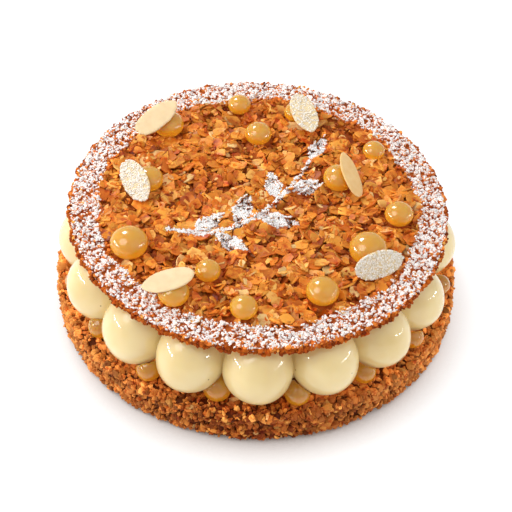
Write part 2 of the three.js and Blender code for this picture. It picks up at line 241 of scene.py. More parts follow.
# where each lamp stands, as a direction from the tart and a distance; sizes in mm, power in watts,
# and "along" is the way its second side runs
studio = [
    {"name": "backKey", "way": (-0.34, 0.63, 0.70), "far": 1200, "size": (280, 280), "power": 5.4},
    {"name": "leftStrip", "way": (-0.92, -0.12, 0.30), "far": 900, "size": (36, 760), "power": 3.4,
     "along": (0.02, -0.47, 0.11)},
    {"name": "rightStrip", "way": (0.93, -0.17, 0.22), "far": 900, "size": (28, 760), "power": 1.7,
     "along": (-0.09, -0.41, 0.13)},
    {"name": "topDish", "way": (-0.50, -0.20, 0.84), "far": 1000, "size": (680, 680), "power": 3.7,
     "shape": "ELLIPSE"},
    {"name": "rightFill", "way": (0.60, -0.35, 0.70), "far": 1500, "size": (1300, 1300), "power": 2.0},
]
lampAim = 35  # mm over the table
world = {"colour": "#ffffff", "strength": 0.54}


def addStudio():
    for lamp in studio:
        data = bpy.data.lights.new(lamp["name"], "AREA")
        data.shape = lamp.get("shape", "RECTANGLE")
        data.size, data.size_y = (side * mm for side in lamp["size"])
        data.energy = lamp["power"]
        light = bpy.data.objects.new(lamp["name"], data)
        bpy.context.scene.collection.objects.link(light)
        way = Vector(lamp["way"]).normalized()
        across = Vector(lamp.get("along", (0, 0, 1))).cross(way).normalized()
        turn = Matrix((across, way.cross(across), way)).transposed()
        spot = (way * lamp["far"] + Vector((0, 0, lampAim))) * mm
        light.matrix_world = Matrix.Translation(spot) @ turn.to_4x4()
    white = bpy.data.worlds.new("studioWhite")
    white.use_nodes = True
    background = white.node_tree.nodes["Background"]
    setInputs(background, {"Color": world["colour"], "Strength": world["strength"]})
    bpy.context.scene.world = white


paper = {
    "grain": 1.11,  # mm
    "tones": [(0.3, "#8a8886"), (0.7, "#8f8d8b")],
    "paintedGlow": 0.87,
    "window": (-0.1, 0.74, 0.66),  # the painted shadow is darkest in front of the tart, as if the glow came from behind it
    "paintedShadow": [(0.2, "#5c4c42"), (0.45, "#d8d0cc"), (0.85, "#ffffff")],
    "paintedShadowReach": 22,  # mm
    "half": 4000,  # mm from its middle to each side
}


def addFloor():
    # matt white paper with a painted glow, as if lit from below on a light table, so that the lamps'
    # shadows hardly show, and a short painted contact shadow where the tart hides the paper
    material, tree, shader, place = newMaterial("whitePaperPaintedGlow")
    grain = addNode(tree, "TexNoise", {"Vector": place, "Scale": perMetre(paper["grain"]), "Detail": 3.0})
    tone = addNode(tree, "ValToRGB", {0: grain}, paper["tones"])
    window = addNode(tree, "CombineXYZ", dict(zip("XYZ", paper["window"])))
    # painted shadow: the paper's painted glow is dimmed where the tart hides it, most in front
    occlusionForPaintedShadow = addNode(tree, "AmbientOcclusion",
                   {"Distance": paper["paintedShadowReach"] * mm, "Normal": window}, samples=12)
    paintedGlow = addNode(tree, "ValToRGB", {0: occlusionForPaintedShadow.outputs["AO"]}, paper["paintedShadow"])
    setInputs(shader, {"Base Color": tone, "Roughness": 0.9, "Specular IOR Level": 0.0,
                       "Emission Color": paintedGlow, "Emission Strength": paper["paintedGlow"]})
    mesh = bpy.data.meshes.new("floor")
    half = paper["half"] * mm
    corners = [(-half, -half, 0), (half, -half, 0), (half, half, 0), (-half, half, 0)]
    mesh.from_pydata(corners, [], [(0, 1, 2, 3)])
    mesh.materials.append(material)
    floor = bpy.data.objects.new("floor", mesh)
    bpy.context.scene.collection.objects.link(floor)


addCamera()
addStudio()
addFloor()
bpy.context.scene.view_settings.view_transform = "Standard"
print("camera, light and floor")


# materials

def tinted(tree, place, patch, dark):
    # the piece's own tint, mottled with darker toasted patches of a size in millimetres
    tint = addNode(tree, "VertexColor", layer_name="tint")
    toast = addNode(tree, "TexNoise", {"Vector": place, "Scale": perMetre(patch), "Detail": 4.0,
                                       "Roughness": 0.6})
    shade = addNode(tree, "ValToRGB", {0: toast}, [(0.3, dark), (0.52, "#ffffff")])
    mixed = addNode(tree, "Mix", {mixShare: 1.0, mixFirst: tint, mixSecond: shade},
                    data_type="RGBA", blend_type="MULTIPLY")
    return mixed.outputs[mixResult]


def upward(tree):
    # how far a face looks up: 1 straight up, -1 straight down
    normal = addNode(tree, "NewGeometry").outputs["Normal"]
    return addNode(tree, "SeparateXYZ", {"Vector": normal}).outputs["Z"]


def dusted(tree, place, bare):
    # icing sugar caught on the faces that look up, broken into a lace of 2.3 mm: that is coarser
    # than its grains, which are too fine to show
    share = addNode(tree, "Attribute", attribute_name="dust").outputs["Fac"]
    facing = addNode(tree, "MapRange", {"Value": upward(tree), "From Min": 0.25, "From Max": 0.5})
    lace = addNode(tree, "TexNoise",
                   {"Vector": place, "Scale": perMetre(2.326), "Detail": 3.0, "Roughness": 0.55})
    # the more sugar fell, the less of the lace is open
    least = addNode(tree, "MapRange", {"Value": share, "To Min": 0.72, "To Max": 0.45})
    sown = addNode(tree, "Math", {0: share, 1: 0.05}, operation="GREATER_THAN")
    crisp = 18.0  # how steep the lace's edges are
    cover = addNode(tree, "Math", {0: lace, 1: least}, operation="SUBTRACT")
    for factor in (crisp, facing, sown):
        cover = addNode(tree, "Math", {0: cover, 1: factor}, operation="MULTIPLY", use_clamp=True)
    mixed = addNode(tree, "Mix", {mixShare: cover, mixFirst: bare, mixSecond: "#fdf8f3"}, data_type="RGBA")
    return mixed.outputs[mixResult]


def bakedCrumb(name, paintedGlow):
    # crushed nuts and biscuit baked with butter: matt and mottled, darker where it is toasted, with a
    # painted glow of its own colour that lifts its cracks, as light passing from crumb to crumb would
    material, tree, shader, place = newMaterial(name)
    colour = dusted(tree, place, tinted(tree, place, 2.38, "#c87c40"))
    pores = addNode(tree, "TexNoise", {"Vector": place, "Scale": perMetre(0.667), "Detail": 4.0})
    bump = addNode(tree, "Bump", {"Height": pores, "Strength": 0.5, "Distance": 0.4 * mm})
    # painted light: the crumb glows in its own colour
    setInputs(shader, {"Base Color": colour, "Roughness": 0.6, "Specular IOR Level": 0.1,
                       "Emission Color": colour, "Emission Strength": paintedGlow, "Normal": bump})
    return material


def caramelisedAlmond():
    # flaked almond baked in butter and sugar: thin and satin, light glows through its edges
    material, tree, shader, place = newMaterial("caramelisedAlmond")
    colour = dusted(tree, place, tinted(tree, place, 4.167, "#cf7c34"))
    grain = addNode(tree, "TexNoise", {"Vector": place, "Scale": perMetre(1.111), "Detail": 3.0})
    bump = addNode(tree, "Bump", {"Height": grain, "Strength": 0.3, "Distance": 0.3 * mm})
    setInputs(shader, {"Base Color": colour, "Roughness": 0.38, "Specular IOR Level": 0.2,
                       "Subsurface Weight": 0.12, "Subsurface Radius": (1.0, 0.45, 0.12),
                       "Subsurface Scale": 2 * mm, "Normal": bump})
    return material


def icingSugar(name, low, high):
    # fine dry powder: flat white, no gloss, light passes between the grains; they are drawn
    # 0.8 mm across, as real ones are too fine to show
    material, tree, shader, place = newMaterial(name)
    clump = addNode(tree, "TexNoise", {"Vector": place, "Scale": perMetre(0.833), "Detail": 3.0})
    white = addNode(tree, "ValToRGB", {0: clump}, [(0.3, low), (0.6, high)])
    bump = addNode(tree, "Bump", {"Height": clump, "Strength": 0.5, "Distance": 0.3 * mm})
    setInputs(shader, {"Base Color": white, "Roughness": 0.9, "Specular IOR Level": 0.2,
                       "Subsurface Weight": 0.3, "Subsurface Radius": (1.0, 0.9, 0.85),
                       "Subsurface Scale": 0.6 * mm, "Normal": bump})
    return material


def vanillaCream():
    # whipped custard cream from a plain nozzle: smooth satin skin with a wet sheen, tiny seeds
    material, tree, shader, place = newMaterial("vanillaCream")
    cloud = addNode(tree, "TexNoise", {"Vector": place, "Scale": perMetre(22.22), "Detail": 2.0})
    body = addNode(tree, "ValToRGB", {0: cloud}, [(0.3, "#d3ba80"), (0.7, "#e0cc98")])
    # the seeds lie 6.7 mm apart and are drawn a little larger than real ones, so that they show
    seeds = addNode(tree, "TexVoronoi", {"Vector": place, "Scale": perMetre(6.667)})
    speck = addNode(tree, "ValToRGB", {0: seeds}, [(0.04, "#6c5438"), (0.07, "#ffffff")])
    draw = addNode(tree, "SeparateColor", {"Color": seeds.outputs["Color"]})
    chosen = addNode(tree, "Math", {0: draw.outputs["Red"], 1: 0.62}, operation="GREATER_THAN")
    mixed = addNode(tree, "Mix", {mixShare: chosen, mixFirst: body, mixSecond: speck},
                    data_type="RGBA", blend_type="MULTIPLY")
    fold = addNode(tree, "TexNoise",
                   {"Vector": place, "Scale": perMetre(11.11), "Detail": 2.0, "Distortion": 0.6})
    bump = addNode(tree, "Bump", {"Height": fold, "Strength": 0.12, "Distance": 1 * mm})
    # painted light: the cream is given a painted glow low on the ball, as light that comes down through it
    # would leave it again there
    paintedGlow = addNode(tree, "MapRange", {"Value": upward(tree), "From Min": -0.15, "From Max": -0.85,
                                      "To Min": 0.1, "To Max": 0.36})
    setInputs(shader, {"Base Color": mixed.outputs[mixResult], "Roughness": 0.45, "Coat Weight": 1.0,
                       "Coat Roughness": 0.05, "Subsurface Weight": 0.8,
                       "Subsurface Radius": (1.0, 0.85, 0.5), "Subsurface Scale": 9 * mm,
                       "Emission Color": "#f0d898", "Emission Strength": paintedGlow, "Normal": bump})
    return material


def pearGel(name, low, top, clear):
    # set pear juice: cloudy amber jelly under a wet skin, with painted light: its colour runs from the low
    # one on faces that look down to the top one on faces that look up, and a painted glow low down, where
    # the light gathers
    material, tree, shader, place = newMaterial(name)
    up = upward(tree)
    haze = addNode(tree, "TexNoise", {"Vector": place, "Scale": perMetre(7.143), "Detail": 2.0})
    # painted light: the colour follows how far the face looks up, with a little haze
    hazeAndPaintedLight = addNode(tree, "Math", {0: haze, 1: 0.35, 2: up}, operation="MULTIPLY_ADD")
    body = addNode(tree, "ValToRGB", {0: hazeAndPaintedLight}, [(0.25, low), (0.95, top)])
    paintedGlow = addNode(tree, "MapRange", {"Value": up, "From Min": 0.5, "From Max": -0.3, "To Max": 0.16})
    setInputs(shader, {"Base Color": body, "Roughness": 0.2, "IOR": 1.37,
                       "Transmission Weight": clear, "Coat Weight": 1.0, "Coat Roughness": 0.03,
                       "Subsurface Weight": 1.0, "Subsurface Radius": (1.0, 0.68, 0.25),
                       "Subsurface Scale": 4 * mm, "Emission Color": low, "Emission Strength": paintedGlow})
    return material


def almondFlesh(name, deep, pale):
    # blanched almond cut thin: dry ivory with a faint oily sheen
    material, tree, shader, place = newMaterial(name)
    grain = addNode(tree, "TexNoise", {"Vector": place, "Scale": perMetre(3.846), "Detail": 3.0})
    body = addNode(tree, "ValToRGB", {0: grain}, [(0.3, deep), (0.7, pale)])
    bump = addNode(tree, "Bump", {"Height": grain, "Strength": 0.15, "Distance": 0.5 * mm})
    setInputs(shader, {"Base Color": body, "Roughness": 0.5, "Specular IOR Level": 0.3,
                       "Subsurface Weight": 0.3, "Subsurface Radius": (1.0, 0.8, 0.5),
                       "Subsurface Scale": 2 * mm, "Normal": bump})
    return material


crumbFinish = bakedCrumb("bakedNutCrumb", paintedGlow=0.02)
bandFinish = bakedCrumb("caramelCrumb", paintedGlow=0.1)
flakeFinish = caramelisedAlmond()
sugarFinish = icingSugar("icingSugar", low="#f8f1ec", high="#fffefd")
crustFinish = icingSugar("dampIcingSugar", low="#d9c4a0", high="#fcf4e9")
creamFinish = vanillaCream()
# low is the painted colour and painted glow low on the gel, top its colour on faces that look up
dropFinish = pearGel("pearGelAmber", low="#eeaa28", top="#e2ac3e", clear=0.25)
beadFinish = pearGel("pearGelPale", low="#d8921e", top="#cc9630", clear=0.3)
plainSlice = almondFlesh("blanchedAlmond", deep="#dcc196", pale="#e3cca2")
amberSlice = almondFlesh("almondOverAmber", deep="#e4bc7c", pale="#eac88e")
sugaredSlice = almondFlesh("sugaredAlmond", deep="#dcc08c", pale="#ead6b0")
print("materials")


# nut crumb base

base = {
    "radius": 100, "height": 17,  # mm
    "ledgeInner": 80,  # the crumb shows from here out
    # sink: the share of its size by which each is sunk
    "crumbs": {"count": 7400, "size": (1.05, 2.3), "sink": 0.35,
               "tones": [(5, "#b4662a"), (5, "#a25422"), (4, "#884016"), (4, "#c87832"), (2, "#64290c"),
                         (2, "#dc9a4c")]},
    "nuts": {"count": 420, "size": (1.7, 2.8), "sink": 0.5,
             "tones": [(3, "#cd8238"), (3, "#bb6a26"), (1, "#e0b070")]},
    "rough": 0.32, "stretch": (0.42, 1.45),
    # the core that shows between the crumbs: partly its own dark brown, partly painted shade in the gaps
    "body": "#5c2a0e",
    "gapDepth": 1.1,  # mm that a crumb may lie deeper than its neighbours
    # painted light and shade in the crumbs' tints: all are lightened, the deeper sunk ones darkened, and
    # those on the ledge lightened where the balls shade it
    "light": 1.25, "paintedGapShade": 0.62, "ledgePaintedLight": 1.28,
    "pale": "#ee9e50", "paintedPaleSpread": (0.45, 1.45),
    "paintedPaleShare": (0.68, 0.66),  # painted light: how far the left and the right side are painted paler, toward the pale tone
}


def ringedFaces(rings, around):
    # faces of a form made of a first point, rings and a last point, looking outward
    faces = []
    last = rings * around + 1
    for i in range(around):
        j = (i + 1) % around
        faces.append((0, 1 + j, 1 + i))
        for ring in range(rings - 1):
            low, high = 1 + ring * around, 1 + (ring + 1) * around
            faces += [(low + i, low + j, high + j), (low + i, high + j, high + i)]
        faces.append((last, last - around + i, last - around + j))
    return np.array(faces)


def ringedPoints(lowest, rings, highest, around):
    # points of a round form: its lowest point, rings of (radius, height) and its highest point
    turns = np.arange(around) * 2 * math.pi / around
    points = [(0, 0, lowest)]
    for radius, height in rings:
        points += list(zip(radius * np.cos(turns), radius * np.sin(turns), np.full(around, height)))
    return np.array([*points, (0, 0, highest)])


def ringedSurface(rings, around, rng, stray):
    # a closed round form from (radius, height) rings, a little uneven but flat where it stands
    uneven = []
    for radius, height in rings:
        push = rng.normal(0, stray, around)
        lift = rng.normal(0, stray, around) * (height > 0)
        uneven.append((radius + push, height + lift))
    return ringedPoints(rings[0][1], uneven, rings[-1][1], around), ringedFaces(len(rings), around)


def sheetFaces(rings, around):
    # faces of a thin leaf: its upper and its lower sheet, and the strip that joins their rims
    size = 1 + rings * around
    sheet = ringedFaces(rings, around)
    sheet = sheet[(sheet < size).all(1)]
    rim = size - around + np.arange(around)
    nextRim = np.roll(rim, -1)
    edge = np.concatenate([np.stack([rim, rim + size, nextRim + size], -1),
                           np.stack([rim, nextRim + size, nextRim], -1)])
    return np.concatenate([sheet[:, ::-1], sheet + size, edge])


def baseSkinPlaces(rng, count):
    # places on the wall and the ledge, with the way out from each
    wallArea = 2 * math.pi * base["radius"] * base["height"]
    ledgeArea = math.pi * (base["radius"] ** 2 - base["ledgeInner"] ** 2)
    onWall = rng.random(count) < wallArea / (wallArea + ledgeArea)
    angle = rng.uniform(0, 2 * math.pi, count)
    ledge = np.sqrt(rng.uniform(base["ledgeInner"] ** 2, base["radius"] ** 2, count))
    radius = np.where(onWall, base["radius"], ledge)
    height = np.where(onWall, rng.uniform(0, base["height"], count), base["height"])
    out = np.stack([np.where(onWall, np.cos(angle), 0), np.where(onWall, np.sin(angle), 0), ~onWall], -1)
    return np.stack([radius * np.cos(angle), radius * np.sin(angle), height], -1), out.astype(float)


def skinLumps(rng, kind):
    # lumps set into the base's skin
    count = kind["count"]
    shapes, faces = crumbShapes(rng, 32, base["rough"])
    places, out = baseSkinPlaces(rng, count)
    size = rng.uniform(*kind["size"], count) * rng.uniform(0.7, 1.1, count)
    deep = rng.uniform(0, 1, count)
    places = places - out * (size * kind["sink"] + deep * base["gapDepth"])[:, None]
    scales = size[:, None] * rng.uniform(*base["stretch"], (count, 3))
    # none dips through the table, stands high over the ledge or reaches far past the wall
    places[:, 2] = np.maximum(places[:, 2], scales.max(1) * 1.2)
    places[:, 2] = np.minimum(places[:, 2], base["height"] - scales.max(1) * 0.3)
    reach = np.hypot(places[:, 0], places[:, 1])
    limit = base["radius"] + 0.3 - size * 0.75
    places[:, :2] *= np.minimum(1, limit / reach)[:, None]
    tints = pickTints(rng, count, kind["tones"])
    # painted light: the left and the right side are painted paler, as if lit from those sides
    paler = np.array(linear(base["pale"])) * rng.uniform(*base["paintedPaleSpread"], (count, 1))
    turned = places[:, 0] / base["radius"]
    share = np.where(turned < 0, *base["paintedPaleShare"]) * np.clip(np.abs(turned) * 1.4 - 0.25, 0, 1)
    tints += (paler - tints) * share[:, None]
    tints *= (base["light"] - base["paintedGapShade"] * deep)[:, None]  # painted shade: the deeper sunk crumbs are darkened, as less light gets down between them
    # painted light: crumbs on the ledge are lightened, where the balls shade it
    tints *= np.where(out[:, 2:] > 0, base["ledgePaintedLight"], 1)
    choice = rng.integers(0, len(shapes), count)
    return joinCopies(shapes, faces, choice, places, randomTurns(rng, count), scales, tints)


def makeBase():
    rng = np.random.default_rng(5)
    top, side = base["height"] - 1.3, base["radius"] - 1.5
    rings = [(side - 2, 0.0), (side, 1.2), (side, 5), (side, 9), (side, 13), (side - 0.4, top)]
    rings += [(side - step, top) for step in (4, 8, 12, 16, 20)]
    points, faces = ringedSurface(rings, 240, rng, 0.25)
    body = np.tile(linear(base["body"]), (len(points), 1))
    nodes = ["crumb_base"]
    meshPiece("crumbBaseBody", points, faces, crumbFinish, nodes, body)
    for name, kind, sharp in ("crumbBaseCrumbs", "crumbs", 42), ("crumbBaseNuts", "nuts", 30):
        points, faces, tints = skinLumps(rng, base[kind])
        meshPiece(name, points, faces, crumbFinish, nodes, tints, sharp)


makeBase()
print("base")


# cream balls and filling

ball = {
    "count": 16, "radius": 17.5, "ring": 81.4,  # mm
    "axis": (0.3, -1.2, 0),  # the middle of the ring of balls
    "sag": 0.5,  # how far a middle has sunk, which flattens the foot
    "first": 181.8,  # degrees; ball 1 is at the left, ball 5 in front
    "strays": (-0.3, -0.7, 0.6, -1.2, -0.4, -0.8, -1.8, -4.5, -0.1, 0.8, -0.6, 1.1, -0.9, 0.5, 1, -0.5),
    "spread": 0.85,  # mm that it may bulge past half the way to its neighbour
    "press": (0.1, 0.2),  # mm that it presses into a neighbour, and base and lid
    "crease": 60,  # how sharply it ends at what it meets
    "swirl": 0.07,  # mm, the faint rings that the nozzle's lift leaves
    "around": 56, "down": 40,
}


def roundGrid(around, down):
    # directions over a whole ball, and its faces
    rows = np.linspace(math.pi, 0, down + 1)[1:-1]
    ways = ringedPoints(-1, zip(np.sin(rows), np.cos(rows)), 1, around)
    return ways, ringedFaces(down - 1, around)


def softLeast(distances, power):
    # a smooth least of several reaches
    return np.sum(np.array(distances) ** -float(power), 0) ** (-1 / power)


def wayFromAxis(degrees):
    return np.array([math.cos(math.radians(degrees)), math.sin(math.radians(degrees)), 0])


def ballSeat(index):
    # where the ball stands, and its foot and crown, which its CAD solid gives
    heights = nodePoints(f"cream_ball_{index + 1:02d}")[:, 2]
    foot, crown = heights.min(), heights.max()
    out = wayFromAxis(ball["first"] + index * 360 / ball["count"] + ball["strays"][index])
    middle = np.array(ball["axis"]) + out * ball["ring"]
    middle[2] = (foot + crown) / 2 - ball["sag"]
    half = (crown - foot) / 2 + ball["sag"]
    return {"out": out, "middle": middle, "half": half, "foot": foot, "crown": crown}


def planeReach(ways, normal, distance):
    # how far along each way the plane lies, or very far where the way misses it
    toward = ways @ np.asarray(normal, float)
    return np.where(toward > 1e-3, distance / np.maximum(toward, 1e-3), farAway)


def makeBalls():
    rng = np.random.default_rng(8)
    seats = [ballSeat(i) for i in range(ball["count"])]
    ways, faces = roundGrid(ball["around"], ball["down"])
    pressBeside, pressUpright = ball["press"]
    for i, seat in enumerate(seats):
        beside = np.array([-seat["out"][1], seat["out"][0], 0])
        reaches = []
        for other, side in ((seats[(i + 1) % ball["count"]], 1), (seats[i - 1], -1)):
            # each half is as wide as its neighbour leaves room for, so that they only just touch
            half = np.linalg.norm(other["middle"] - seat["middle"]) / 2
            width = min(ball["radius"], half + ball["spread"])
            squash = ((ways @ seat["out"]) / ball["radius"]) ** 2 + ((ways @ beside) / width) ** 2
            whole = 1 / np.sqrt(squash + (ways[:, 2] / seat["half"]) ** 2)
            apart = (other["middle"] - seat["middle"]) / (2 * half)
            apart[2] = 0
            reaches.append(np.where((ways @ beside) * side >= 0, whole, farAway))
            reaches.append(planeReach(ways, apart, half + pressBeside))
        reaches.append(planeReach(ways, (0, 0, 1), seat["crown"] - seat["middle"][2] + pressUpright))
        reaches.append(planeReach(ways, (0, 0, -1), seat["middle"][2] - seat["foot"] + pressUpright))
        reach = softLeast(reaches, ball["crease"])
        phase = rng.uniform(0, 6)
        rings = np.sin(ways[:, 2] * 8 + phase + 1.2 * ways[:, 0]) * (1 - ways[:, 2] ** 2)
        points = seat["middle"] + ways * (reach + ball["swirl"] * rings)[:, None]
        node = f"cream_ball_{i + 1:02d}"
        meshPiece(f"creamBall{i + 1:02d}", points, faces, creamFinish, [node])
    return seats


ballSeats = makeBalls()
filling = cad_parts["cream_filling"]
filling.data.materials.clear()
filling.data.materials.append(creamFinish)
print("cream")


# pear gel beads between the balls

bead = {
    # for each gap: distance from the ring's axis, turn from the gap's middle in degrees, radius
    "seats": [(91.8, -0.7, 5.3), (89.2, -2.7, 6.1), (89.3, -1.8, 6.2), (86.3, -1.2, 6.9),
              (88.6, 0.9, 6.3), (88.8, 1.6, 5.9), (90.7, 2.1, 5.6), (92.4, 2.8, 5.2), (90.1, 1.2, 5.4),
              (88.9, 0.4, 5.8), (89.6, -0.8, 5.3), (88.6, 0.9, 6), (89.3, -0.5, 5.5),
              (88.8, -1.4, 5.8), (90.2, 0.6, 5.2), (89.7, -1.1, 5.6)],
    "sink": 0.72,  # height of its middle over the base, in its own radii
    "press": 0.5,  # mm that it presses into a ball
    "crease": 16,  # how sharply it ends at what it meets
    "around": 36, "down": 22,
}


def ballReach(ways, start, seat):
    # how far along each way from the start a cream ball begins, or very far where it is missed
    squash = np.array([1, 1, ball["radius"] / seat["half"]])
    begin, step = (start - seat["middle"]) * squash, ways * squash
    a, b, c = (step ** 2).sum(1), step @ begin, begin @ begin - ball["radius"] ** 2
    inside = b ** 2 - a * c
    meets = (inside > 0) & (b < 0)
    return np.where(meets, (-b - np.sqrt(np.maximum(inside, 0))) / a + bead["press"], farAway)


def makeBeads():
    ways, faces = roundGrid(bead["around"], bead["down"])
    for i, (distance, stray, radius) in enumerate(bead["seats"]):
        node = f"pear_bead_{i + 1:02d}"
        left, right = ballSeats[i], ballSeats[(i + 1) % ball["count"]]
        gap = left["out"] + right["out"]
        turn = math.degrees(math.atan2(gap[1], gap[0])) + stray
        middle = np.array(ball["axis"]) + wayFromAxis(turn) * distance
        middle[2] = nodePoints(node)[:, 2].min() + bead["sink"] * radius
        reaches = [np.full(len(ways), radius), planeReach(ways, (0, 0, -1), (bead["sink"] + 0.02) * radius)]
        reaches += [ballReach(ways, middle, seat) for seat in (left, right)]
        points = middle + ways * softLeast(reaches, bead["crease"])[:, None]
        meshPiece(f"pearBead{i + 1:02d}", points, faces, beadFinish, [node])


makeBeads()
print("beads")


# almond slices, worked out first because the gel drops give way to them

almond = {
    "thickness": 1.1, "around": 72,  # mm
    # from the middle to the edge: share of the width, share of the thickness
    "rings": [(0.0, 1), (0.3, 1), (0.6, 1), (0.85, 0.98), (0.96, 0.85), (1.0, 0.4)],
    "bend": (0.0004, 0.0016),  # rise for the square of the distance from its middle
    "sugared": {2: 560, 3: 260, 5: 560},  # clumps of sugar on each of these
    "clumpSize": (0.35, 0.8),
    "ragged": (1, 2), "amber": (4,),
}


def sliceSeat(index):
    # where the CAD slice lies: its middle, its three directions and its length
    corners = nodePoints(f"almond_slice_{index}")
    centre = corners.mean(0)
    long, wide = np.linalg.svd(corners - centre, full_matrices=False)[2][:2]
    normal = np.cross(long, wide)
    if normal[2] < 0:
        wide, normal = -wide, -normal
    along = (corners - centre) @ long
    middle = centre + long * (along.max() + along.min()) / 2
    length = along.max() - along.min()
    along, across = (corners - middle) @ long, (corners - middle) @ wide
    upper = across > 0
    order = np.argsort(along[upper])
    widths = np.interp((-0.35 * length, 0.35 * length), along[upper][order], across[upper][order])
    if widths[1] > widths[0]:
        long, wide = -long, -wide  # its blunt end lies backward
    return {"middle": middle, "long": long, "wide": wide, "normal": normal, "length": length,
            "width": across.max() - across.min()}


def sliceHalfWidth(s, seat):
    # s runs from -1 at the blunt end to 1 at the point
    return seat["width"] / 2 * (1 - np.minimum(np.abs(s), 1) ** 2.4) ** np.where(s < 0, 0.5, 0.72)


sliceSeats = {i: sliceSeat(i) for i in range(1, 7)}


def makeSlices():
    rng = np.random.default_rng(44)
    around, rings = almond["around"], almond["rings"]
    turns = np.arange(around) * 2 * math.pi / around
    s = np.cos(turns)
    faces = sheetFaces(len(rings) - 1, around)
    tops = []
    for i, seat in sliceSeats.items():
        half = sliceHalfWidth(s, seat)
        edge = np.stack([s * seat["length"] / 2, np.sign(np.sin(turns)) * half], -1)
        edge[:, 0] += rng.uniform(0, 1.3, around) * (s < -0.86) * (i in almond["ragged"])
        edge += rng.normal(0, 0.05, edge.shape)
        bend = rng.uniform(*almond["bend"])
        sheets = []
        for up in (1, -1):
            for share, thick in rings:
                flat = edge * share if share else np.zeros((1, 2))
                # it bends about the height of the CAD slice, so its middle lies a little lower
                cup = bend * (flat[:, 0] ** 2 - 50) + 0.06 * np.sin(flat[:, 0] * 0.5 + i)
                sheets.append(np.c_[flat, cup + up * thick * almond["thickness"] / 2])
        axes = np.stack([seat["long"], seat["wide"], seat["normal"]])
        points = seat["middle"] + np.concatenate(sheets) @ axes
        finish = amberSlice if i in almond["amber"] else plainSlice
        if i in almond["sugared"]:
            finish = sugaredSlice
            tops.append((seat, axes, almond["sugared"][i]))
        meshPiece(f"almondSlice{i}", points, faces, finish, [f"almond_slice_{i}"], None, 50)
    return tops


def sugarSlices(tops):
    # a bumpy crust of sugar on three of the slices
    rng = np.random.default_rng(45)
    shapes, faces = crumbShapes(rng, 24, 0.3)
    places, turns = [], []
    for seat, axes, count in tops:
        s = rng.uniform(-0.97, 0.97, count)
        across = rng.uniform(-1, 1, count) * (sliceHalfWidth(s, seat) - 0.3)
        local = np.stack([s * seat["length"] / 2, across, np.full(count, almond["thickness"] / 2)], -1)
        places.append(seat["middle"] + local @ axes)
        turns.append(np.tile(axes.T, (count, 1, 1)))
    places, turns = np.concatenate(places), np.concatenate(turns)
    count = len(places)
    size = rng.uniform(*almond["clumpSize"], count)
    scales = size[:, None] * rng.uniform(0.7, 1.3, (count, 3)) * (1, 1, 0.45)
    choice = rng.integers(0, len(shapes), count)
    points, faces, _ = joinCopies(shapes, faces, choice, places, turns, scales, np.ones((count, 3)))
    nodes = [f"almond_slice_{i}" for i in almond["sugared"]]
    meshPiece("sliceSugar", points, faces, crustFinish, nodes)


sugarSlices(makeSlices())
print("slices")


# flaked almond lid

lid = {
    "radius": 92.8, "thickness": 4.4, "band": 14,  # mm
    "top": 56.4, "tilt": 1.2, "shift": (0.3, 1.3),  # the tilt in degrees
    "bed": -2.2,  # floor under the flakes, from the top plane
    "crown": 2.3,  # the flakes stay below this
    "cell": 0.5,  # mm, of the height map that the flakes lie on
    "tilts": 0.38,  # how far flakes stray from lying flat
    "scraps": {"count": 2700, "length": (2.8, 6.5), "around": 7, "rings": (1.0,), "tones": "scrapTones"},
    "flakes": {"count": 1950, "length": (7.5, 13.5), "around": 9, "rings": (0.65, 1.0),
               "tones": "flakeTones"},
    "bits": {"count": 800, "length": (2.6, 5.2), "around": 7, "rings": (1.0,), "tones": "flakeTones"},
    "crumbs": 1800, "crumbSize": (0.5, 1.1),
    "bandCrumbs": 6400, "bandCrumbSize": (0.7, 1.3),
    "plate": "#b5602a",
    "flakeTones": [(7, "#e48c30"), (6, "#e69a3c"), (5, "#da7a28"), (3, "#c8681c"), (2, "#eeb058"),
                   (1, "#f0c480"), (1, "#a85216")],
    "scrapTones": [(4, "#d27424"), (4, "#bc601a"), (4, "#dd8a34"), (1, "#e8a64c"), (1, "#964512")],
    "crumbTones": [(4, "#b4602a"), (3, "#9c4c1c"), (3, "#c97636"), (1, "#dfa050")],
    "bandTones": [(5, "#dc7c32"), (4, "#e48e3e"), (3, "#bc6426"), (1, "#eca850")],
    "sideTones": [(5, "#b05614"), (4, "#98440a"), (3, "#c4681c"), (2, "#783004")],
}
bandInner = lid["radius"] - lid["band"]
lidTurn = np.array(Matrix.Rotation(math.radians(lid["tilt"]), 3, "Y"))
lidMiddle = np.array([*lid["shift"], lid["top"]])


def onTart(points):
    # from the lid's own frame to the tart's
    return points @ lidTurn.T + lidMiddle


def onLid(points):
    return (points - lidMiddle) @ lidTurn


def dropSeat(index):
    low, high = (np.array(corner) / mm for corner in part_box(f"pear_drop_{index:02d}"))
    middle = onLid(np.array([*(low + high)[:2] / 2, low[2]]))
    radius = (high - low)[:2].max() / 2 * 1.015  # the CAD drop's facets lie a little inside the round
    return {"x": middle[0], "y": middle[1], "radius": radius}


drops = [dropSeat(i) for i in range(1, 15)]


def awayFromDrops(x, y, share, margin=0.0):
    # true where a place on the lid lies clear of every gel drop
    return np.all([np.hypot(x - d["x"], y - d["y"]) > d["radius"] * share + margin for d in drops], 0)


